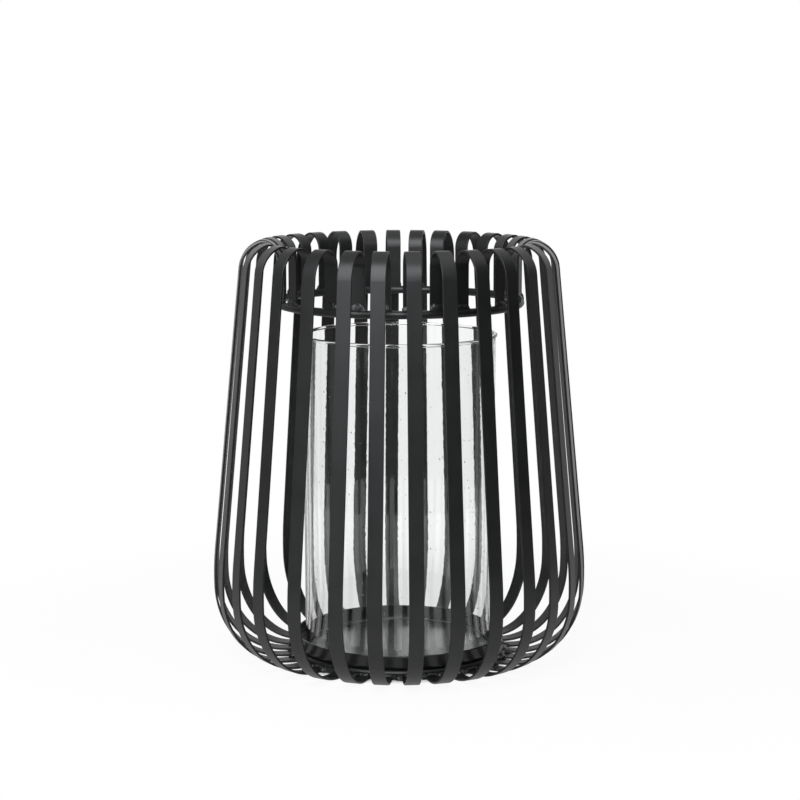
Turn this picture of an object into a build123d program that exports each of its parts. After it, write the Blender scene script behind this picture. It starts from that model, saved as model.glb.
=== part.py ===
"""Hurricane candle lantern: a clear glass cylinder standing in a cage of bent flat straps.

Millimetres, +Z up, origin on the floor in the middle of the lantern.
Azimuths are in degrees, counted from the front (-Y) towards +X.
Side views are drawn with the radius along X, on Plane.XZ.
"""
import os
from math import acos, degrees, hypot, sqrt

from build123d import *

os.makedirs("parts", exist_ok=True)

# ---------------------------------------------------------------- driving dimensions

# Flat bar that the straps are bent from
strap_width = 10.8
strap_thickness = 1.6
strap_edge_radius = 0.4

# Straps round the cage. The gaps run from the first strap on towards +X, as the maker set
# them by eye, and the last gap, which closes the circle at the front left, is what is left
first_strap_azimuth = -18.7
right_gap_angles = (11.65, 12.15, 12.15, 12.3, 12.4, 11.4, 12.3, 11.4, 11.5, 11.7, 11.8, 10.8)
back_gap_angles = (12.0, 12.7, 13.5, 10.9, 10.7, 11.7, 13.0, 12.5)
left_gap_angles = (12.2, 12.0, 11.3, 10.5, 12.0, 11.8, 12.3, 11.7, 14.1)

# Outer face of a strap, from its foot at the base ring to its crown: a flat sole,
# three bends that open out into the bowl, a straight flank that leans inwards,
# and three bends that hook the strap over to an upright leg
sole_length = 10.2
heel_bend_radius = 47.9
heel_bend_angle = 55.8
belly_bend_radius = 61.7
belly_bend_angle = 31.8
flank_bend_radius = 218.0
flank_lean_angle = 5.4
flank_length = 212.3
shoulder_bend_radius = 22.2
shoulder_bend_angle = 65.7
crest_bend_radius = 6.4
hook_bend_radius = 12.6
leg_length = 30.3

# Round wire rings; the base ring lies on the floor, its middle this far inside the tray's edge
wire_diameter = 6.0
base_ring_inset = 2.1

# Pressed tray that holds the glass
tray_radius = 78.8
tray_sheet = 1.6
tray_depth = 10.7
tray_corner_radius = 2.6
tray_rim_radius = 0.7

# Glass cylinder, open at both ends, a little wider at the mouth
glass_wall = 2.8
glass_height = 236.3
glass_flare = 1.3
glass_tray_clearance = 6.3
glass_foot_clearance = 0.3
glass_lip_radius = 1.2
glass_edge_radius = 0.9

# Weld beads, which reach a little past both edges of a strap
bead_overhang = 0.8
bead_fit = 0.02
bead_bulge_height = 0.5
crown_bead_toe_angle = 5.0
crown_bead_rise = 3.2
base_bead_root_angle = -24.0
base_bead_toe_angle = 25.0
base_bead_reach = 3.2

# ---------------------------------------------------------------- derived places

quarter_turn = 90.0
listed_gap_angles = right_gap_angles + back_gap_angles + left_gap_angles
strap_count = len(listed_gap_angles) + 1
strap_azimuths = [first_strap_azimuth + sum(listed_gap_angles[:index]) for index in range(strap_count)]
flank_bend_angle = quarter_turn + flank_lean_angle - heel_bend_angle - belly_bend_angle
crest_bend_angle = quarter_turn - flank_lean_angle - shoulder_bend_angle

# A sole ends where the side of the base ring meets it at the height of its top
wire_radius = wire_diameter / 2
base_ring_radius = tray_radius - base_ring_inset
sole_end_reach = sqrt(wire_radius**2 - (wire_radius - strap_thickness) ** 2) + bead_fit
sole_inner_radius = base_ring_radius + sole_end_reach
sole_outer_radius = sole_inner_radius + sole_length

tray_underside = wire_diameter
tray_floor = tray_underside + tray_sheet
glass_foot_radius = tray_radius - tray_sheet - glass_tray_clearance
glass_mouth_radius = glass_foot_radius + glass_flare
glass_foot_height = tray_floor + glass_foot_clearance
glass_top_height = glass_foot_height + glass_height


def at_azimuth(azimuth):
    """Turn a piece drawn along +X so that it stands at an azimuth of the lantern."""
    return Location((0, 0, 0), (0, 0, azimuth - quarter_turn))


def save(piece, name):
    """Label a finished piece and write it as one STEP file."""
    piece.part.label = name
    export_step(piece.part, f"parts/{name}.step")


# ---------------------------------------------------------------- straps

with BuildLine() as strap_outline:
    sole = Line((sole_inner_radius, 0), (sole_outer_radius, 0))
    heel = JernArc(sole @ 1, sole % 1, heel_bend_radius, heel_bend_angle)
    belly = JernArc(heel @ 1, heel % 1, belly_bend_radius, belly_bend_angle)
    flank_bend = JernArc(belly @ 1, belly % 1, flank_bend_radius, flank_bend_angle)
    flank = PolarLine(flank_bend @ 1, flank_length, direction=flank_bend % 1)
    shoulder = JernArc(flank @ 1, flank % 1, shoulder_bend_radius, shoulder_bend_angle)
    crest = JernArc(shoulder @ 1, shoulder % 1, crest_bend_radius, crest_bend_angle)
    hook = JernArc(crest @ 1, crest % 1, hook_bend_radius, quarter_turn)
    leg = PolarLine(hook @ 1, leg_length, direction=hook % 1)
    offset(amount=strap_thickness, side=Side.LEFT)

leg_radius = (leg @ 1).X + strap_thickness / 2
leg_end_height = (leg @ 1).Y
crown_ring_height = leg_end_height - wire_radius

with BuildPart() as strap_blank:
    with BuildSketch(Plane.XZ):
        with BuildLine():
            add(strap_outline.line)
        make_face()
    extrude(amount=strap_width / 2, both=True)
    side_faces = strap_blank.faces().filter_by(Axis.Y)
    fillet(side_faces.edges(), strap_edge_radius)

for number, azimuth in enumerate(strap_azimuths, start=1):
    with BuildPart() as strap:
        with Locations(at_azimuth(azimuth)):
            add(strap_blank.part)
    save(strap, f"strap_{number:02d}")

# ---------------------------------------------------------------- wire rings


def wire_ring(radius, height):
    """A closed ring of round wire, lying level."""
    with BuildPart() as ring:
        with Locations((0, 0, height)):
            Torus(radius, wire_radius)
    return ring


save(wire_ring(leg_radius, crown_ring_height), "crown_ring")
save(wire_ring(base_ring_radius, wire_radius), "base_ring")

# ---------------------------------------------------------------- tray

with BuildPart() as tray:
    with BuildSketch(Plane.XZ):
        with Locations((0, tray_underside)):
            Rectangle(tray_radius, tray_depth, align=(Align.MIN, Align.MIN))
        with Locations((0, tray_floor)):
            Rectangle(tray_radius - tray_sheet, tray_depth, align=(Align.MIN, Align.MIN), mode=Mode.SUBTRACT)
    revolve(axis=Axis.Z)
    underside_circle, floor_circle, rim_circles = tray.edges().filter_by(GeomType.CIRCLE).group_by(Axis.Z)
    fillet(underside_circle, tray_corner_radius)
    fillet(floor_circle, tray_corner_radius - tray_sheet)
    fillet(rim_circles, tray_rim_radius)
save(tray, "tray")

# ---------------------------------------------------------------- glass

with BuildPart() as glass:
    with BuildSketch(Plane.XZ):
        with BuildLine():
            foot = (glass_foot_radius, glass_foot_height)
            under_lip = (glass_mouth_radius, glass_top_height - 2 * glass_lip_radius)
            lip_front = (glass_mouth_radius + glass_lip_radius, glass_top_height - glass_lip_radius)
            over_lip = (glass_mouth_radius, glass_top_height)
            mouth_inside = (glass_mouth_radius - glass_wall, glass_top_height)
            foot_inside = (glass_foot_radius - glass_wall, glass_foot_height)
            Line(foot, under_lip)
            ThreePointArc(under_lip, lip_front, over_lip)
            Polyline(over_lip, mouth_inside, foot_inside, foot)
        make_face()
    revolve(axis=Axis.Z)
    glass_circles = glass.edges().filter_by(GeomType.CIRCLE)
    fillet(glass_circles.group_by(Axis.Z)[0], glass_edge_radius)
    fillet(glass_circles.group_by(Axis.Z)[-1].sort_by(SortBy.RADIUS)[0], glass_edge_radius)
save(glass, "glass_cylinder")

# ---------------------------------------------------------------- weld beads


def save_beads(name, profile, profile_radius):
    """Turn a bead's side view about the axis across every strap, as one node of separate solids."""
    half_angle = degrees((strap_width / 2 + bead_overhang) / profile_radius)
    with BuildPart() as beads:
        for azimuth in strap_azimuths:
            with BuildSketch(Plane.XZ.rotated((0, 0, azimuth - quarter_turn - half_angle))):
                with BuildLine():
                    add(profile.line)
                make_face()
            revolve(axis=Axis.Z, revolution_arc=2 * half_angle)
    save(beads, name)


hollow_radius = wire_radius + bead_fit

# The crown bead fills the corner between the outward face of a leg and the top of the ring
leg_side_radius = hypot(leg_radius + strap_thickness / 2, strap_width / 2) + bead_fit
leg_side_angle = degrees(acos((leg_side_radius - leg_radius) / hollow_radius))
with BuildLine() as crown_bead:
    hollow = CenterArc(
        (leg_radius, crown_ring_height),
        hollow_radius,
        crown_bead_toe_angle,
        leg_side_angle - crown_bead_toe_angle,
    )
    bead_side = Line(hollow @ 1, (leg_side_radius, leg_end_height + crown_bead_rise))
    SagittaArc(bead_side @ 1, hollow @ 0, bead_bulge_height)
save_beads("crown_welds", crown_bead, leg_side_radius)

# The base bead fills the corner between the outer side of the ring and the top of a sole
with BuildLine() as base_bead:
    hollow = CenterArc(
        (base_ring_radius, wire_radius),
        hollow_radius,
        base_bead_root_angle,
        base_bead_toe_angle - base_bead_root_angle,
    )
    bead_foot = Polyline(
        hollow @ 0,
        ((hollow @ 0).X, strap_thickness),
        ((hollow @ 0).X + base_bead_reach, strap_thickness),
    )
    SagittaArc(bead_foot @ 1, hollow @ 1, -bead_bulge_height)
save_beads("base_welds", base_bead, base_ring_radius)
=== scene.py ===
import math
import random

import bmesh
import bpy
from mathutils import Matrix, Vector, noise


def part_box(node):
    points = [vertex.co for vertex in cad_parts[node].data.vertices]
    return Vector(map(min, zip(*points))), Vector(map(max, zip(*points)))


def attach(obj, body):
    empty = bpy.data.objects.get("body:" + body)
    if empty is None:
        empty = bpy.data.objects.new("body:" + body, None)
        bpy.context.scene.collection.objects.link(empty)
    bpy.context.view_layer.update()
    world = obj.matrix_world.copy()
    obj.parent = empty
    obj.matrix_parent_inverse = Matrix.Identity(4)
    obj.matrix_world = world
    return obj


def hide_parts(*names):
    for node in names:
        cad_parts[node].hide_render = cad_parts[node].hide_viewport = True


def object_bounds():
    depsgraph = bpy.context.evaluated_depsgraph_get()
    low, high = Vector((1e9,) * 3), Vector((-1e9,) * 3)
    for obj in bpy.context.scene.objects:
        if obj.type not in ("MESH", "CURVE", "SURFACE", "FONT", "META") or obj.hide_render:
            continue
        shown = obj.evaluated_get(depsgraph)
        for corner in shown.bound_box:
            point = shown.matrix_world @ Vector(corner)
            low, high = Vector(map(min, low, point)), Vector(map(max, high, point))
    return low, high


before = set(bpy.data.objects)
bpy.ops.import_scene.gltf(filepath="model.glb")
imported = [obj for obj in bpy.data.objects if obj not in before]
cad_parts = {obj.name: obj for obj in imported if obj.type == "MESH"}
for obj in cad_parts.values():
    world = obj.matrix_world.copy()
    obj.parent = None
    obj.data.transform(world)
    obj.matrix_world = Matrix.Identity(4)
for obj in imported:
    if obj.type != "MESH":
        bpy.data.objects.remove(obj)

bl_info = {
    "name": "Hurricane Candle Lantern",
    "version": (1, 0, 0),
    "blender": (4, 5, 0),
    "location": "View3D > Sidebar > Lantern",
    "description": "Finishes the black strap cage, blows the glass and lights the lantern",
    "category": "Add Mesh",
}

CAD_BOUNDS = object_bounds()
MM = 0.001
CAGE = "cage"
GLASS = "glass"
STRAPS = sorted(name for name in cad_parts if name.startswith("strap_"))
RINGS = sorted(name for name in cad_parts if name.endswith("_ring"))

# Names that end in _MM hold lengths in millimetres. A pair is the range that a value is drawn
# from, or the span over which a step runs.

# Paint: shares and heights of its layers, and the sheen of each piece against the straps' sheen
CLOUD_SHARE = 0.7
PEEL_SHARE = 0.3
TONE_SPAN = (0.3, 0.7)
DARK_TONE = 0.8
LIGHT_TONE = 1.2
PAINT_WARMTH = -0.02
NIB_SPACING = 4.5
NIB_SPAN = (0.72, 0.78)
NIB_HEIGHT = 0.8
CLOUD_ROUGHNESS = 0.1
PEEL_ROUGHNESS = 0.06
MEAN_LAYER_ROUGHNESS = 0.08
WIRE_EXTRA_SHEEN = 0.04
WIRE_COARSENESS = 1.3
WELD_EXTRA_SHEEN = 0.08
WELD_COARSENESS = 2.2
TRAY_EVENNESS = 3.0

# Relief of the glass: widths and heights of its ripples, of its upright streaks and of its grain
RIPPLE_WIDTH = 4 * MM
STREAK_WIDTH = 9 * MM
STREAK_STRETCH = (1, 1, 5)
STREAK_HEIGHT = 2.0
GRAIN_WIDTH = 1.7 * MM
GRAIN_HEIGHT = 1.2

# Weld beads: the lumps' meshing, and the ripples and lumps of their skin
LUMP_RINGS = 14
LUMP_SECTORS = 14
LUMP_END_POWER = 0.7
SMOOTHING = 0.5
SMOOTHING_ROUNDS = 2
RIPPLE_HEIGHT = 0.05
COARSE_SKIN = 2.2 * MM
COARSE_SKIN_SHIFT = 40
FINE_SKIN = 1.0 * MM
FINE_SKIN_SHIFT = 90
FINE_SKIN_HEIGHT = 0.8

# Crown beads: half sizes, places against the ring, and the blobs near their ends
CROWN_BEAD_RISE = (0.8, 1.1)
TALL_BEAD_SHARE = 0.2
TALL_BEAD_FACTOR = 1.5
CROWN_BEAD_LENGTH = (0.88, 1.02)
CROWN_BEAD_OFFSET_MM = (-0.5, 0.5)
CROWN_BEAD_OUTWARD = 1.15 * MM
CROWN_BEAD_LIFT = 0.2 * MM
CROWN_BEAD_CLIMB = 0.9 * MM
CROWN_BEAD_DEPTH = 1.3 * MM
CROWN_BEAD_DEPTH_RANGE = (0.9, 1.15)
CROWN_BEAD_HEIGHT = 2.7 * MM
CROWN_BEAD_TILT = math.radians(17)
CROWN_BLOB_SIZE = (0.7, 1.25)
CROWN_BLOB_SIDEWAYS_MM = (3.6, 5.0)
CROWN_BLOB_OUTWARD_MM = (0.6, 1.8)
CROWN_BLOB_SINK = 0.2 * MM
CROWN_BLOB_LENGTH = 1.9 * MM
CROWN_BLOB_THICKNESS = 1.3 * MM

# Base beads: half sizes, places against the ring, and the blobs at the straps' edges
BEAD_FLOOR = 0.15 * MM
BASE_BEAD_LENGTH = (0.9, 1.0)
BASE_BEAD_OUTWARD = 0.9 * MM
BASE_BEAD_DROP = 0.6 * MM
BASE_BEAD_DEPTH = 1.9 * MM
BASE_BEAD_DEPTH_RANGE = (0.9, 1.15)
BASE_BEAD_HEIGHT = 1.5 * MM
BASE_BEAD_TILT = math.radians(-40)
HEAVY_BLOB_SIZE = (1.05, 1.35)
LIGHT_BLOB_SIZE = (0.65, 0.95)
BASE_BLOB_SIDEWAYS_MM = (5.8, 7.0)
BASE_BLOB_OUTWARD_MM = (0.4, 2.6)
BASE_BLOB_HEIGHT_MM = (-1.5, -0.9)
BASE_BLOB_HALF_SIZES_MM = (2.9, 3.3, 1.9)
BASE_BLOB_TILT = (-0.5, 0.5)
BASE_BLOB_SKIN = 1.3

# Glass wall: steps of its outline, its long waves and its ground foot
EDGE_STEPS = 6
LIP_STEPS = 14
CREST_STEPS = 8
WALL_STEPS = 40
THROAT = 0.4 * MM
WAVE_SPREAD = 2.2
WAVE_LENGTH = 0.07
INSIDE_WAVE_SHIFT = 9.0
GROUND_SHARE = 0.6

# Air bubbles: where they lie along and through the wall, and their sizes
BUBBLE_SEED = 31
BUBBLE_PLACE = (0.05, 0.93)
BUBBLE_DEPTH = (0.25, 0.75)
BUBBLE_RADIUS = 0.17 * MM
BUBBLE_SPREAD = 0.36 * MM
BUBBLE_RARITY = 3
BUBBLE_STRETCH = (1.0, 1.9)

# Floor: its gap under the lantern, its edge, and the ring round the tray where its glow sets in
FLOOR_GAP = 0.1 * MM
FLOOR_SEGMENTS = 128
FLOOR_FADE_START = 0.35
FLOOR_FADE_END = 0.8
GLOW_SPAN = (0.081, 0.095)

# Room, as spans of the direction's parts: sideways towards +X, backward towards +Y, upward
BACKDROP_LEFT_TO_RIGHT = (-0.15, 0.15)
MIDDLE_LEFT_SIDE = (-0.6, -0.3)
MIDDLE_RIGHT_SIDE = (0.3, 0.6)
BACKDROP_TOP = (0.2, 0.45)
BACKDROP_FRONT = (0.2, 0.7)
UPPER_FOOT = (0.15, 0.35)
UPPER_TOP = (0.55, 0.75)
UPPER_FRONT = (0.2, 0.6)
LEFT_WALL = (-0.5, -0.9)
CEILING = (0.65, 0.95)
CEILING_LEFT_TO_RIGHT = (-0.45, 0.25)
CEILING_LEFT_SHADE = 0.1

# Count of glossy bounces, as a step between none and one
FIRST_BOUNCE = (0.4, 0.6)

# Lamps: azimuth and elevation in degrees, distance and side in metres
KEY_LIGHT = (-20, 38, 1.0, 0.9)
FILL_LIGHT = (12, 38, 1.0, 0.45)
SIDE_PANEL = (-45, 8, 1.8, 0.9)
LAMP_TINT = (0.95, 0.98, 1.0)

# Camera: sensor width in millimetres, and sideways shift as a share of it
SENSOR_WIDTH = 36
LENS_SHIFT = 0.0011


# ---------------------------------------------------------------- places read from the frame


def ring_places(node):
    """Radius of a wire ring's centreline, height of that centreline, and the wire's radius."""
    low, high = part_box(node)
    wire = (high.z - low.z) / 2
    return high.x - wire, (high.z + low.z) / 2, wire


def strap_azimuth(node):
    """Azimuth of a strap, counted from the front (-Y) towards +X, in radians."""
    middle = sum((v.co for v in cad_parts[node].data.vertices), Vector())
    return math.atan2(middle.x, -middle.y)


def around(azimuth, radius, sideways, height):
    """A point of the lantern from its azimuth, radius, sideways offset and height."""
    outward = Vector((math.sin(azimuth), -math.cos(azimuth), 0))
    along = Vector((math.cos(azimuth), math.sin(azimuth), 0))
    return outward * radius + along * sideways + Vector((0, 0, height))


# ---------------------------------------------------------------- shader maths


class Value:
    """An output socket, which adds Math nodes when it is used in an expression."""

    def __init__(self, graph, socket):
        self.graph = graph
        self.socket = socket

    def math(self, operation, other):
        """A Math node on this value and another value or number."""
        return self.graph.node("ShaderNodeMath", {"operation": operation}, {0: self, 1: other})

    def __add__(self, other):
        return self.math("ADD", other)

    __radd__ = __add__

    def __mul__(self, other):
        return self.math("MULTIPLY", other)

    def __or__(self, other):
        return self.math("MAXIMUM", other)

    def step(self, start, end, low=0.0, high=1.0):
        """A smooth step from low to high as this value goes from start to end."""
        settings = {"interpolation_type": "SMOOTHSTEP"}
        sockets = {"Value": self, "From Min": start, "From Max": end, "To Min": low, "To Max": high}
        return self.graph.node("ShaderNodeMapRange", settings, sockets)


class Graph:
    """The node tree of a material, of the world or of a lamp."""

    def __init__(self, owner):
        owner.use_nodes = True
        self.tree = owner.node_tree
        self.tree.nodes.clear()

    def node(self, kind, settings=None, sockets=None, out=0):
        """Add a node: settings first, then socket values and links. Gives one output, or the node."""
        made = self.tree.nodes.new(kind)
        for name, value in (settings or {}).items():
            setattr(made, name, value)
        for name, value in (sockets or {}).items():
            if isinstance(value, Value):
                self.tree.links.new(value.socket, made.inputs[name])
            else:
                made.inputs[name].default_value = value
        return made if out is None else Value(self, made.outputs[out])

    def noise(self, place, size, detail=2.0, roughness=0.5, stretch=(1, 1, 1)):
        """Soft noise, 0 to 1, whose features measure about size metres."""
        if stretch != (1, 1, 1):
            place = self.node(
                "ShaderNodeVectorMath",
                {"operation": "MULTIPLY"},
                {0: place, 1: [1 / s for s in stretch]},
            )
        sockets = {"Vector": place, "Scale": 1 / size, "Detail": detail, "Roughness": roughness}
        return self.node("ShaderNodeTexNoise", None, sockets, "Fac")

    def blend(self, share, first, second):
        """A colour between two others."""
        return self.node("ShaderNodeMix", {"data_type": "RGBA"}, {0: share, 6: first, 7: second}, 2)

    def bump(self, height, depth):
        """A bumped normal whose relief is depth metres high."""
        sockets = {"Height": height, "Distance": depth, "Strength": 1.0}
        return self.node("ShaderNodeBump", None, sockets, "Normal")

    def path(self, *kinds):
        """1 for rays of these kinds, else 0."""
        first, *rest = [self.node("ShaderNodeLightPath", None, None, f"Is {kind} Ray") for kind in kinds]
        for other in rest:
            first = first | other
        return first

    def end(self, shader, kind="ShaderNodeOutputMaterial"):
        """Send a shader to the output."""
        self.node(kind, None, {"Surface": shader}, None)


def new_material(name):
    """A fresh material with an empty graph."""
    material = bpy.data.materials.new(name)
    return material, Graph(material)


def grey(level, warmth=0.0):
    """A linear grey, a little warmer or cooler."""
    return (level * (1 + warmth), level, level * (1 - warmth), 1.0)


# ---------------------------------------------------------------- settings


class PaintSettings(bpy.types.PropertyGroup):
    """The black paint of the cage."""

    shade: bpy.props.FloatProperty(
        name="Shade", description="Lightness of the black paint", default=0.011, min=0, max=1
    )
    sheen_roughness: bpy.props.FloatProperty(
        name="Roughness", description="How matt the satin paint is", default=0.38, min=0, max=1
    )
    grain_size: bpy.props.FloatProperty(
        name="Grain size",
        description="Width of the paint's fine orange peel",
        default=0.9 * MM,
        subtype="DISTANCE",
        unit="LENGTH",
        precision=5,
    )
    grain_depth: bpy.props.FloatProperty(
        name="Grain depth",
        description="Height of the paint's fine orange peel",
        default=0.012 * MM,
        subtype="DISTANCE",
        unit="LENGTH",
        precision=6,
    )
    cloud_size: bpy.props.FloatProperty(
        name="Cloud size",
        description="Size of the soft patches where the paint lies thicker",
        default=22 * MM,
        subtype="DISTANCE",
        unit="LENGTH",
    )
    tray_shade: bpy.props.FloatProperty(
        name="Tray shade", description="Lightness of the tray's paint", default=0.011, min=0, max=1
    )
    tray_roughness: bpy.props.FloatProperty(
        name="Tray roughness", description="How matt the tray's paint is", default=0.23, min=0, max=1
    )


class WeldSettings(bpy.types.PropertyGroup):
    """The hand-laid weld beads."""

    bead_length: bpy.props.FloatProperty(
        name="Bead length",
        description="Length of a bead across its strap",
        default=12.4 * MM,
        subtype="DISTANCE",
        unit="LENGTH",
    )
    ripple_pitch: bpy.props.FloatProperty(
        name="Ripple pitch",
        description="Distance between the ripples of a bead",
        default=1.5 * MM,
        subtype="DISTANCE",
        unit="LENGTH",
        precision=4,
    )
    lumpiness: bpy.props.FloatProperty(
        name="Lumpiness", description="How uneven the beads are", default=0.28, min=0, max=1
    )
    voxel: bpy.props.FloatProperty(
        name="Mesh size",
        description="Size of the faces that the beads are meshed with",
        default=0.4 * MM,
        subtype="DISTANCE",
        unit="LENGTH",
        precision=5,
    )
    seed: bpy.props.IntProperty(name="Seed", description="Which set of random beads", default=7)


class GlassSettings(bpy.types.PropertyGroup):
    """The glass cylinder."""

    wall: bpy.props.FloatProperty(
        name="Wall",
        description="Thickness of the glass",
        default=2.8 * MM,
        subtype="DISTANCE",
        unit="LENGTH",
        precision=4,
    )
    flare: bpy.props.FloatProperty(
        name="Flare",
        description="How much wider the mouth's radius is than the foot's",
        default=1.3 * MM,
        subtype="DISTANCE",
        unit="LENGTH",
        precision=4,
    )
    lip: bpy.props.FloatProperty(
        name="Lip",
        description="Radius of the rounded lip round the mouth",
        default=1.2 * MM,
        subtype="DISTANCE",
        unit="LENGTH",
        precision=4,
    )
    foot_edge: bpy.props.FloatProperty(
        name="Foot edge",
        description="Radius of the polished edges of the foot",
        default=0.9 * MM,
        subtype="DISTANCE",
        unit="LENGTH",
        precision=4,
    )
    tint: bpy.props.FloatVectorProperty(
        name="Tint",
        description="Colour that white light takes in the glass",
        default=(0.985, 0.992, 0.99),
        size=3,
        subtype="COLOR",
        min=0,
        max=1,
    )
    index: bpy.props.FloatProperty(name="Index", description="Index of refraction", default=1.5, min=1)
    wave: bpy.props.FloatProperty(
        name="Wave",
        description="How far the blown wall strays from round",
        default=0.02 * MM,
        subtype="DISTANCE",
        unit="LENGTH",
        precision=6,
    )
    ripple: bpy.props.FloatProperty(
        name="Ripple",
        description="Height of the fine ripples on the wall",
        default=0.004 * MM,
        subtype="DISTANCE",
        unit="LENGTH",
        precision=6,
    )
    ground_roughness: bpy.props.FloatProperty(
        name="Ground foot", description="How rough the ground foot is", default=0.45, min=0, max=1
    )
    seeds: bpy.props.IntProperty(name="Seeds", description="Number of small air bubbles", default=700)
    segments: bpy.props.IntProperty(name="Segments", description="Faces round the glass", default=240)


class StudioSettings(bpy.types.PropertyGroup):
    """Camera, floor and light."""

    distance: bpy.props.FloatProperty(
        name="Camera distance",
        description="Distance from the camera to the lantern's axis",
        default=1.641,
        subtype="DISTANCE",
        unit="LENGTH",
    )
    height: bpy.props.FloatProperty(
        name="Camera height",
        description="Height of the camera above the floor",
        default=0.4417,
        subtype="DISTANCE",
        unit="LENGTH",
    )
    tilt: bpy.props.FloatProperty(
        name="Camera tilt",
        description="Angle that the camera looks down",
        default=math.radians(8.608),
        subtype="ANGLE",
        unit="ROTATION",
    )
    lens: bpy.props.FloatProperty(
        name="Lens", description="Focal length of the camera, in millimetres", default=99.57
    )
    floor_reach: bpy.props.FloatProperty(
        name="Floor reach",
        description="How far the pale floor runs out from the lantern",
        default=0.62,
        subtype="DISTANCE",
        unit="LENGTH",
    )
    floor_shade: bpy.props.FloatProperty(
        name="Floor shade", description="Lightness of the pale floor", default=0.82, min=0, max=1
    )
    floor_glow: bpy.props.FloatProperty(
        name="Floor glow", description="How much of the floor's white is its own", default=0.93, min=0, max=1
    )
    floor_behind_glass: bpy.props.FloatProperty(
        name="Floor through glass", description="Lightness of the floor through the glass", default=0.85
    )
    floor_in_mirror: bpy.props.FloatProperty(
        name="Floor in gloss", description="Lightness of the floor that gloss mirrors", default=0.65
    )
    key_power: bpy.props.FloatProperty(
        name="Key light", description="Power of the large soft light high at the front left", default=11.6
    )
    fill_power: bpy.props.FloatProperty(
        name="Fill light", description="Power of the small soft light high at the front right", default=0.74
    )
    side_power: bpy.props.FloatProperty(
        name="Side panel", description="Power of the low panel at the front left", default=1.1
    )
    room_shade: bpy.props.FloatProperty(
        name="Room", description="Lightness of the whole room", default=0.02
    )
    left_shade: bpy.props.FloatProperty(
        name="Left wall", description="Added lightness of the wall at the left", default=0.2
    )
    back_left_shade: bpy.props.FloatProperty(
        name="Backdrop left", description="Lightness of the backdrop's left half in gloss", default=0.45
    )
    back_right_shade: bpy.props.FloatProperty(
        name="Backdrop right", description="Lightness of the backdrop's right half in gloss", default=0.55
    )
    back_middle_shade: bpy.props.FloatProperty(
        name="Backdrop middle", description="Added lightness of the backdrop's middle in gloss", default=0.7
    )
    back_upper_shade: bpy.props.FloatProperty(
        name="Backdrop above", description="Lightness of the backdrop's upper part in gloss", default=0.75
    )
    ceiling_shade: bpy.props.FloatProperty(
        name="Ceiling", description="Added lightness of the room overhead", default=1.1
    )


class LanternSettings(bpy.types.PropertyGroup):
    """Everything that a user may change on the lantern."""

    paint: bpy.props.PointerProperty(type=PaintSettings, name="Paint")
    welds: bpy.props.PointerProperty(type=WeldSettings, name="Welds")
    glass: bpy.props.PointerProperty(type=GlassSettings, name="Glass")
    studio: bpy.props.PointerProperty(type=StudioSettings, name="Studio")


# ---------------------------------------------------------------- finishes


def black_paint(name, paint, shade, roughness, coarseness=1.0, evenness=1.0):
    """Satin black paint: soft clouds, a fine orange peel and a few specks of dust under it.

    A higher coarseness widens the peel and deepens the relief; a higher evenness flattens it.
    """
    material, graph = new_material(name)
    place = graph.node("ShaderNodeTexCoord", None, None, "Object")
    clouds = graph.noise(place, paint.cloud_size, detail=3.0, roughness=0.55)
    peel = graph.noise(place, paint.grain_size * coarseness, detail=2.0, roughness=0.6)
    dust = graph.noise(place, NIB_SPACING * paint.grain_size, detail=1.0, roughness=0.4)
    nibs = dust.step(*NIB_SPAN)
    tone = clouds * CLOUD_SHARE + peel * PEEL_SHARE
    dark = grey(shade * DARK_TONE, PAINT_WARMTH)
    light = grey(shade * LIGHT_TONE, PAINT_WARMTH)
    colour = graph.blend(tone.step(*TONE_SPAN), dark, light)
    relief = peel + nibs * NIB_HEIGHT
    layers = clouds * CLOUD_ROUGHNESS + peel * PEEL_ROUGHNESS
    sockets = {
        "Base Color": colour,
        "Roughness": layers + (roughness - MEAN_LAYER_ROUGHNESS),
        "Normal": graph.bump(relief, paint.grain_depth * coarseness / evenness),
    }
    graph.end(graph.node("ShaderNodeBsdfPrincipled", None, sockets))
    return material


def clear_glass(name, settings, roughness):
    """Glass with fine ripples, polished or ground, which lets the lamps' light through."""
    material, graph = new_material(name)
    place = graph.node("ShaderNodeTexCoord", None, None, "Object")
    ripples = graph.noise(place, RIPPLE_WIDTH, detail=1.0, roughness=0.4)
    streaks = graph.noise(place, STREAK_WIDTH, detail=1.0, roughness=0.4, stretch=STREAK_STRETCH)
    grain = graph.noise(place, GRAIN_WIDTH, detail=1.0, roughness=0.5)
    relief = ripples + streaks * STREAK_HEIGHT + grain * GRAIN_HEIGHT
    sockets = {
        "Base Color": (*settings.tint, 1.0),
        "Roughness": roughness,
        "IOR": settings.index,
        "Transmission Weight": 1.0,
        "Normal": graph.bump(relief, settings.ripple),
    }
    body = graph.node("ShaderNodeBsdfPrincipled", None, sockets)
    open_to_lamps = graph.node("ShaderNodeBsdfTransparent", None, {"Color": (*settings.tint, 1.0)})
    graph.end(graph.node("ShaderNodeMixShader", None, {0: graph.path("Shadow"), 1: body, 2: open_to_lamps}))
    return material


def dress(names, material):
    """Give CAD nodes a finish."""
    for name in names:
        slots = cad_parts[name].data.materials
        slots.clear()
        slots.append(material)


# ---------------------------------------------------------------- pieces


def new_piece(name, mesh, material, body, slot, *nodes):
    """A piece that rides on a body and stands for CAD nodes."""
    piece = bpy.data.objects.new(name, mesh)
    bpy.context.scene.collection.objects.link(piece)
    mesh.materials.append(material)
    for face in mesh.polygons:
        face.use_smooth = True
    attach(piece, body)
    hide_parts(*nodes)
    return piece


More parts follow.
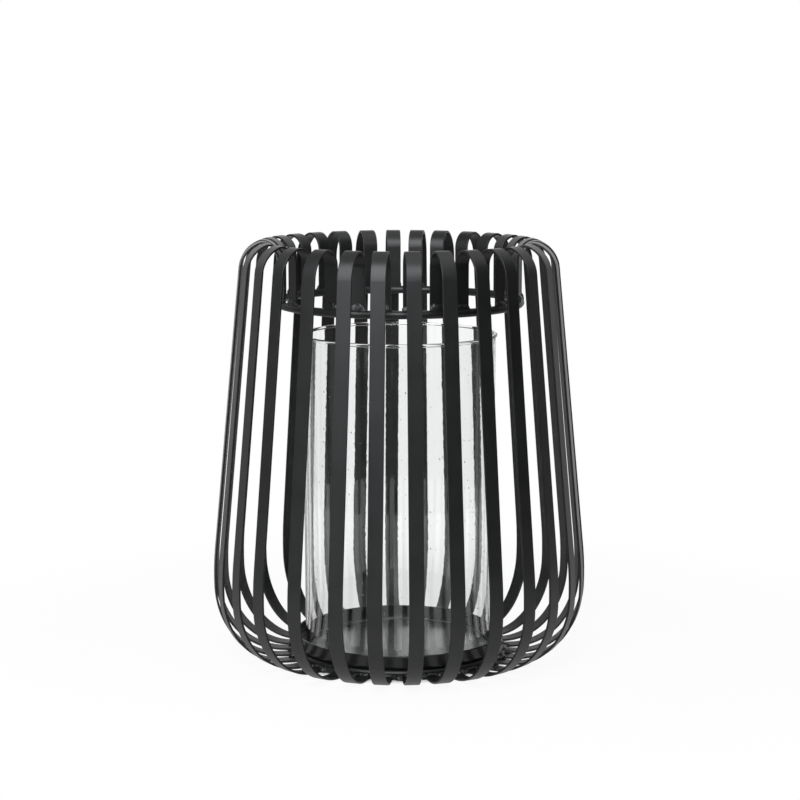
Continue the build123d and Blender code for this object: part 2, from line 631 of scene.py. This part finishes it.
def lump(bm, place, middle, half_sizes, tilt, wobble):
    """A closed rounded lump in a bead's own frame: sideways, outward and up."""
    turn = Matrix.Rotation(tilt, 3, "X")
    rows = []
    for ring in range(1, LUMP_RINGS):
        angle = math.pi * ring / LUMP_RINGS
        across = math.sin(angle) ** LUMP_END_POWER
        row = []
        for sector in range(LUMP_SECTORS):
            round_angle = 2 * math.pi * sector / LUMP_SECTORS
            local = Vector(
                (
                    -math.cos(angle) * half_sizes[0],
                    across * math.cos(round_angle) * half_sizes[1],
                    across * math.sin(round_angle) * half_sizes[2],
                )
            )
            row.append(bm.verts.new(place(wobble(turn @ local + middle, local))))
        rows.append(row)
    ends = [
        bm.verts.new(place(turn @ Vector((side * half_sizes[0], 0, 0)) + middle)) for side in (-1, 1)
    ]
    for near, far in zip(rows, rows[1:]):
        for index in range(LUMP_SECTORS):
            after = (index + 1) % LUMP_SECTORS
            bm.faces.new((near[index], near[after], far[after], far[index]))
    for index in range(LUMP_SECTORS):
        after = (index + 1) % LUMP_SECTORS
        bm.faces.new((ends[0], rows[0][after], rows[0][index]))
        bm.faces.new((ends[1], rows[-1][index], rows[-1][after]))


def fused(name, bm, voxel):
    """One mesh of a bmesh's lumps, fused and smoothed."""
    rough = bpy.data.meshes.new(name + "_rough")
    bmesh.ops.recalc_face_normals(bm, faces=bm.faces)
    bm.to_mesh(rough)
    bm.free()
    holder = bpy.data.objects.new(name + "_rough", rough)
    bpy.context.scene.collection.objects.link(holder)
    remesh = holder.modifiers.new("fuse", "REMESH")
    remesh.mode = "VOXEL"
    remesh.voxel_size = voxel
    remesh.adaptivity = 0.0
    smooth = holder.modifiers.new("smooth", "SMOOTH")
    smooth.factor = SMOOTHING
    smooth.iterations = SMOOTHING_ROUNDS
    graph = bpy.context.evaluated_depsgraph_get()
    mesh = bpy.data.meshes.new_from_object(holder.evaluated_get(graph))
    bpy.data.objects.remove(holder)
    bpy.data.meshes.remove(rough)
    mesh.name = name
    return mesh


def rippled(settings, chance, amount=1.0):
    """A wobble that gives a bead its ripples and uneven skin."""
    phase = chance.uniform(0, 2 * math.pi)
    shift = Vector([chance.uniform(0, 1) for _ in range(3)])

    def wobble(point, local):
        wave = math.cos(2 * math.pi * point.x / settings.ripple_pitch + phase)
        rough = noise.noise(point / COARSE_SKIN + shift * COARSE_SKIN_SHIFT)
        fine = noise.noise(point / FINE_SKIN + shift * FINE_SKIN_SHIFT)
        lumps = settings.lumpiness * (rough + FINE_SKIN_HEIGHT * fine)
        skin = Vector((0, local.y, local.z))
        return point + skin * amount * (RIPPLE_HEIGHT * wave + lumps)

    return wobble


def crown_bead_mesh(settings):
    """A bead in the corner between each leg's outward face and the crown ring, with two blobs."""
    radius, height, wire = ring_places("crown_ring")
    chance = random.Random(settings.seed)
    bm = bmesh.new()
    for name in STRAPS:
        azimuth = strap_azimuth(name)

        def place(point):
            return around(azimuth, radius + point.y, point.x, height + point.z)

        rise = chance.uniform(*CROWN_BEAD_RISE)
        if chance.random() < TALL_BEAD_SHARE:
            rise *= TALL_BEAD_FACTOR
        long = settings.bead_length / 2 * chance.uniform(*CROWN_BEAD_LENGTH)
        aside = chance.uniform(*CROWN_BEAD_OFFSET_MM) * MM
        middle = Vector((aside, CROWN_BEAD_OUTWARD, wire + CROWN_BEAD_LIFT + CROWN_BEAD_CLIMB * rise))
        deep = CROWN_BEAD_DEPTH * chance.uniform(*CROWN_BEAD_DEPTH_RANGE)
        half = (long, deep, CROWN_BEAD_HEIGHT * rise)
        lump(bm, place, middle, half, CROWN_BEAD_TILT, rippled(settings, chance))
        for side in (-1, 1):
            size = chance.uniform(*CROWN_BLOB_SIZE)
            aside = side * chance.uniform(*CROWN_BLOB_SIDEWAYS_MM) * MM
            spot = Vector((aside, chance.uniform(*CROWN_BLOB_OUTWARD_MM) * MM, wire - CROWN_BLOB_SINK))
            thick = CROWN_BLOB_THICKNESS * size
            half = (CROWN_BLOB_LENGTH * size, thick, thick)
            lump(bm, place, spot, half, 0.0, rippled(settings, chance))
    return fused("crown_weld_beads", bm, settings.voxel)


def base_bead_mesh(settings):
    """A bead where each sole ends at the side of the base ring, with a blob at both its edges."""
    radius, height, wire = ring_places("base_ring")
    chance = random.Random(settings.seed + 1)
    bm = bmesh.new()
    for name in STRAPS:
        azimuth = strap_azimuth(name)

        def place(point):
            return around(azimuth, radius + point.y, point.x, max(height + point.z, BEAD_FLOOR))

        long = settings.bead_length / 2 * chance.uniform(*BASE_BEAD_LENGTH)
        middle = Vector((0, wire + BASE_BEAD_OUTWARD, -BASE_BEAD_DROP))
        half = (long, BASE_BEAD_DEPTH * chance.uniform(*BASE_BEAD_DEPTH_RANGE), BASE_BEAD_HEIGHT)
        lump(bm, place, middle, half, BASE_BEAD_TILT, rippled(settings, chance))
        heavy = chance.choice((-1, 1))
        for side in (-1, 1):
            size = chance.uniform(*(HEAVY_BLOB_SIZE if side == heavy else LIGHT_BLOB_SIZE))
            spot = Vector(
                (
                    side * chance.uniform(*BASE_BLOB_SIDEWAYS_MM) * MM,
                    wire + chance.uniform(*BASE_BLOB_OUTWARD_MM) * MM,
                    chance.uniform(*BASE_BLOB_HEIGHT_MM) * MM,
                )
            )
            half = [length * MM * size for length in BASE_BLOB_HALF_SIZES_MM]
            tilt = chance.uniform(*BASE_BLOB_TILT)
            lump(bm, place, spot, half, tilt, rippled(settings, chance, BASE_BLOB_SKIN))
    return fused("base_weld_beads", bm, settings.voxel)


def arc(centre, radius, start, end, steps):
    """Points of an arc in the (radius, height) half plane, angles in degrees."""
    for step in range(steps + 1):
        angle = math.radians(start + (end - start) * step / steps)
        yield centre[0] + radius * math.cos(angle), centre[1] + radius * math.sin(angle)


def wall(start, end, steps):
    """Points between two points of the half plane, both left out."""
    for step in range(1, steps):
        share = step / steps
        yield start[0] + (end[0] - start[0]) * share, start[1] + (end[1] - start[1]) * share


def glass_profile(settings):
    """Closed outline of the glass wall as (radius, height) points, from the foot's outside up."""
    low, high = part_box("glass_cylinder")
    lip, edge, thick = settings.lip, settings.foot_edge, settings.wall
    mouth = high.x - lip
    foot = mouth - settings.flare
    crest = thick / 2
    outer_foot = list(arc((foot - edge, low.z + edge), edge, -90, 0, EDGE_STEPS))
    outer_lip = list(arc((mouth, high.z - lip), lip, -90, 90, LIP_STEPS))
    inner_lip = list(arc((mouth - thick + crest, high.z - crest), crest, 90, 180, CREST_STEPS))
    inner_foot = list(arc((foot - thick + edge, low.z + edge), edge, 180, 270, EDGE_STEPS))
    throat = (mouth, high.z - 2 * lip - THROAT)
    outside = [*outer_foot, *wall(outer_foot[-1], throat, WALL_STEPS), throat, *outer_lip]
    inside = [*inner_lip, *wall(inner_lip[-1], inner_foot[0], WALL_STEPS), *inner_foot]
    return outside + inside


def glass_mesh(settings):
    """The glass turned from its outline, a little wavy, with small air bubbles in the wall."""
    bm = bmesh.new()
    outline = glass_profile(settings)
    segments = settings.segments
    inside = min(radius for radius, height in outline) + settings.wall / 2
    rows = []
    for radius, height in outline:
        row = []
        for segment in range(segments):
            angle = 2 * math.pi * segment / segments
            across = Vector((math.cos(angle), math.sin(angle), 0))
            surface = 0.0 if radius > inside else INSIDE_WAVE_SHIFT
            long_wave = noise.noise(across * WAVE_SPREAD + Vector((0, surface, height / WAVE_LENGTH)))
            bent = radius + settings.wave * long_wave
            row.append(bm.verts.new(across * bent + Vector((0, 0, height))))
        rows.append(row)
    low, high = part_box("glass_cylinder")
    for near, far in zip(rows, rows[1:] + rows[:1]):
        ground = max(near[0].co.z, far[0].co.z) < low.z + settings.foot_edge * GROUND_SHARE
        for index in range(segments):
            after = (index + 1) % segments
            face = bm.faces.new((near[index], near[after], far[after], far[index]))
            face.material_index = int(ground)
    mouth = high.x - settings.lip
    chance = random.Random(BUBBLE_SEED)
    for _ in range(settings.seeds):
        share = chance.uniform(*BUBBLE_PLACE)
        size = BUBBLE_RADIUS + BUBBLE_SPREAD * chance.random() ** BUBBLE_RARITY
        radius = mouth - settings.flare * (1 - share) - settings.wall * chance.uniform(*BUBBLE_DEPTH)
        azimuth = chance.uniform(0, 2 * math.pi)
        middle = around(azimuth, radius, 0, low.z + (high.z - low.z) * share)
        stretch = chance.uniform(*BUBBLE_STRETCH)
        scale = Matrix.LocRotScale(middle, None, Vector((size, size, size * stretch)))
        made = bmesh.ops.create_icosphere(bm, subdivisions=1, radius=1.0, matrix=scale)
        bubble = {face for vert in made["verts"] for face in vert.link_faces}
        bmesh.ops.reverse_faces(bm, faces=list(bubble))
    mesh = bpy.data.meshes.new("glass_cylinder_blown")
    bm.to_mesh(mesh)
    bm.free()
    return mesh


# ---------------------------------------------------------------- operators


class LANTERN_OT_paint_cage(bpy.types.Operator):
    """Paint the straps and the wire rings satin black"""

    bl_idname = "lantern.paint_cage"
    bl_label = "Paint the cage"

    def execute(self, context):
        paint = context.scene.lantern.paint
        sheen = paint.sheen_roughness
        strap = black_paint("strap_black_satin", paint, paint.shade, sheen)
        wire = black_paint(
            "wire_black_satin", paint, paint.shade, sheen - WIRE_EXTRA_SHEEN, WIRE_COARSENESS
        )
        dress(STRAPS, strap)
        dress(RINGS, wire)
        return {"FINISHED"}


class LANTERN_OT_paint_tray(bpy.types.Operator):
    """Paint the pressed tray semi-gloss black"""

    bl_idname = "lantern.paint_tray"
    bl_label = "Paint the tray"

    def execute(self, context):
        paint = context.scene.lantern.paint
        finish = black_paint(
            "tray_black_semi_gloss", paint, paint.tray_shade, paint.tray_roughness, evenness=TRAY_EVENNESS
        )
        dress(["tray"], finish)
        return {"FINISHED"}


class LANTERN_OT_lay_welds(bpy.types.Operator):
    """Lay the weld beads of the crown and of the base"""

    bl_idname = "lantern.lay_welds"
    bl_label = "Lay the weld beads"

    def execute(self, context):
        paint, welds = context.scene.lantern.paint, context.scene.lantern.welds
        sheen = paint.sheen_roughness - WELD_EXTRA_SHEEN
        finish = black_paint("weld_black_satin", paint, paint.shade, sheen, WELD_COARSENESS)
        new_piece("crown_weld_beads", crown_bead_mesh(welds), finish, CAGE, "weld_black", "crown_welds")
        new_piece("base_weld_beads", base_bead_mesh(welds), finish, CAGE, "weld_black", "base_welds")
        return {"FINISHED"}


class LANTERN_OT_blow_glass(bpy.types.Operator):
    """Blow the clear glass cylinder with its rounded lip"""

    bl_idname = "lantern.blow_glass"
    bl_label = "Blow the glass"

    def execute(self, context):
        settings = context.scene.lantern.glass
        blown = clear_glass("clear_glass_blown", settings, 0.0)
        ground = clear_glass("clear_glass_ground", settings, settings.ground_roughness)
        piece = new_piece(
            "glass_cylinder_blown", glass_mesh(settings), blown, GLASS, "clear_glass", "glass_cylinder"
        )
        piece.data.materials.append(ground)
        return {"FINISHED"}


class LANTERN_OT_set_stage(bpy.types.Operator):
    """Set the pale floor, the soft studio light and the camera"""

    bl_idname = "lantern.set_stage"
    bl_label = "Set the stage"

    def execute(self, context):
        studio = context.scene.lantern.studio
        lay_floor(studio)
        light_room(context.scene, studio)
        hang_lamps(studio)
        set_camera(context.scene, studio)
        context.scene.view_settings.view_transform = "Standard"
        return {"FINISHED"}


def lay_floor(studio):
    """A round pale floor, which has only the lamps' light under the tray and its own white further out.

    Its edge fades into the white of the room for the camera and through the glass.
    """
    low = CAD_BOUNDS[0].z - FLOOR_GAP
    reach = studio.floor_reach
    bm = bmesh.new()
    level = Matrix.Translation((0, 0, low))
    bmesh.ops.create_circle(bm, cap_ends=True, segments=FLOOR_SEGMENTS, radius=reach, matrix=level)
    mesh = bpy.data.meshes.new("studio_floor")
    bm.to_mesh(mesh)
    bm.free()
    floor = bpy.data.objects.new("studio_floor", mesh)
    bpy.context.scene.collection.objects.link(floor)
    material, graph = new_material("floor_pale")
    place = graph.node("ShaderNodeTexCoord", None, None, "Object")
    distance = graph.node("ShaderNodeVectorMath", {"operation": "LENGTH"}, {0: place}, "Value")
    far = distance.step(reach * FLOOR_FADE_START, reach * FLOOR_FADE_END)
    in_view = graph.path("Camera")
    behind = studio.floor_behind_glass
    through = graph.path("Transmission") * (behind + far * (1 - behind))
    mirrored = graph.path("Glossy") * studio.floor_in_mirror
    paper = graph.node("ShaderNodeBsdfDiffuse", None, {"Color": grey(studio.floor_shade)})
    brightness = graph.blend(in_view | through | mirrored, grey(0.0), grey(1.0))
    glow = graph.node("ShaderNodeEmission", None, {"Color": brightness})
    white = graph.node("ShaderNodeEmission", None, {"Color": grey(1.0), "Strength": 1.0})
    special = graph.path("Camera", "Glossy", "Transmission")
    lit = distance.step(*GLOW_SPAN, 0.0, studio.floor_glow)
    near = graph.node("ShaderNodeMixShader", None, {0: special * lit, 1: paper, 2: glow})
    edge = graph.path("Camera", "Transmission") * far
    graph.end(graph.node("ShaderNodeMixShader", None, {0: edge, 1: near, 2: white}))
    mesh.materials.append(material)


def light_room(scene, studio):
    """White for the camera and straight through the glass.

    Gloss and soft light see a room instead: a pale backdrop with a lighter middle, a pale wall at
    the left and a ceiling that is lighter at the right.
    """
    world = bpy.data.worlds.new("studio_room")
    scene.world = world
    graph = Graph(world)
    toward = graph.node("ShaderNodeTexCoord", None, None, "Generated")
    axes = graph.node("ShaderNodeSeparateXYZ", None, {0: toward}, None)
    sideways, backward, upward = (Value(graph, axes.outputs[axis]) for axis in "XYZ")
    sides = sideways.step(*BACKDROP_LEFT_TO_RIGHT, studio.back_left_shade, studio.back_right_shade)
    to_right = sideways.step(*MIDDLE_RIGHT_SIDE, studio.back_middle_shade, 0.0)
    middle = sideways.step(*MIDDLE_LEFT_SIDE) * to_right
    low = upward.step(*BACKDROP_TOP, 1.0, 0.0)
    upper = upward.step(*UPPER_FOOT) * upward.step(*UPPER_TOP, studio.back_upper_shade, 0.0)
    backdrop = backward.step(*BACKDROP_FRONT) * low * (sides + middle)
    high_backdrop = backward.step(*UPPER_FRONT) * upper
    left = sideways.step(*LEFT_WALL, 0.0, studio.left_shade)
    to_ceiling_right = sideways.step(*CEILING_LEFT_TO_RIGHT, CEILING_LEFT_SHADE, studio.ceiling_shade)
    above = upward.step(*CEILING) * to_ceiling_right
    room = backdrop + high_backdrop + left + above + studio.room_shade
    bounces = graph.node("ShaderNodeLightPath", None, None, "Glossy Depth")
    straight = graph.path("Camera") | graph.path("Transmission") * bounces.step(*FIRST_BOUNCE, 1.0, 0.0)
    tone = graph.node("ShaderNodeCombineXYZ", None, {"X": room, "Y": room, "Z": room})
    level = graph.blend(straight, tone, grey(1.0))
    sky = graph.node("ShaderNodeBackground", None, {"Color": level, "Strength": 1.0})
    graph.end(sky, "ShaderNodeOutputWorld")


def hang_lamp(name, azimuth, elevation, distance, side, power):
    """A soft square light that faces the lantern's middle, from its azimuth and elevation in degrees."""
    low, high = CAD_BOUNDS
    middle = (low + high) / 2
    lamp = bpy.data.lights.new(name, "AREA")
    lamp.shape = "RECTANGLE"
    lamp.size = side
    lamp.size_y = side
    lamp.energy = power
    lamp.color = LAMP_TINT
    holder = bpy.data.objects.new(name, lamp)
    bpy.context.scene.collection.objects.link(holder)
    level = distance * math.cos(math.radians(elevation))
    rise = distance * math.sin(math.radians(elevation))
    holder.location = around(math.radians(azimuth), level, 0, middle.z + rise)
    holder.rotation_euler = (middle - holder.location).to_track_quat("-Z", "Y").to_euler()


def hang_lamps(studio):
    """A large soft light high at the front left, a small one at its right, and a low panel further left."""
    hang_lamp("key_light", *KEY_LIGHT, studio.key_power)
    hang_lamp("fill_light", *FILL_LIGHT, studio.fill_power)
    hang_lamp("side_panel", *SIDE_PANEL, studio.side_power)


def set_camera(scene, studio):
    """The camera that looks at the lantern from the front, a little from above."""
    lens = bpy.data.cameras.new("front_camera")
    lens.lens = studio.lens
    lens.sensor_width = SENSOR_WIDTH
    lens.shift_x = LENS_SHIFT
    camera = bpy.data.objects.new("front_camera", lens)
    scene.collection.objects.link(camera)
    camera.location = (0, -studio.distance, studio.height)
    camera.rotation_euler = (math.radians(90) - studio.tilt, 0, 0)
    scene.camera = camera


# ---------------------------------------------------------------- panel


class LANTERN_PT_sidebar(bpy.types.Panel):
    """The lantern's settings and steps"""

    bl_idname = "LANTERN_PT_sidebar"
    bl_label = "Hurricane lantern"
    bl_space_type = "VIEW_3D"
    bl_region_type = "UI"
    bl_category = "Lantern"

    def draw(self, context):
        lantern = context.scene.lantern
        for group in (lantern.paint, lantern.welds, lantern.glass, lantern.studio):
            box = self.layout.box()
            for name in group.bl_rna.properties.keys():
                if name not in ("rna_type", "name"):
                    box.prop(group, name)
        for step in STEPS:
            self.layout.operator(step.bl_idname)


STEPS = (
    LANTERN_OT_paint_cage,
    LANTERN_OT_paint_tray,
    LANTERN_OT_lay_welds,
    LANTERN_OT_blow_glass,
    LANTERN_OT_set_stage,
)
GROUPS = (PaintSettings, WeldSettings, GlassSettings, StudioSettings, LanternSettings)
CLASSES = (*GROUPS, *STEPS, LANTERN_PT_sidebar)


def register():
    for made in CLASSES:
        bpy.utils.register_class(made)
    bpy.types.Scene.lantern = bpy.props.PointerProperty(type=LanternSettings)


def unregister():
    del bpy.types.Scene.lantern
    for made in reversed(CLASSES):
        bpy.utils.unregister_class(made)


def main():
    register()
    bpy.ops.lantern.paint_cage()
    bpy.ops.lantern.paint_tray()
    bpy.ops.lantern.lay_welds()
    bpy.ops.lantern.blow_glass()
    bpy.ops.lantern.set_stage()


if __name__ == "__main__":
    main()
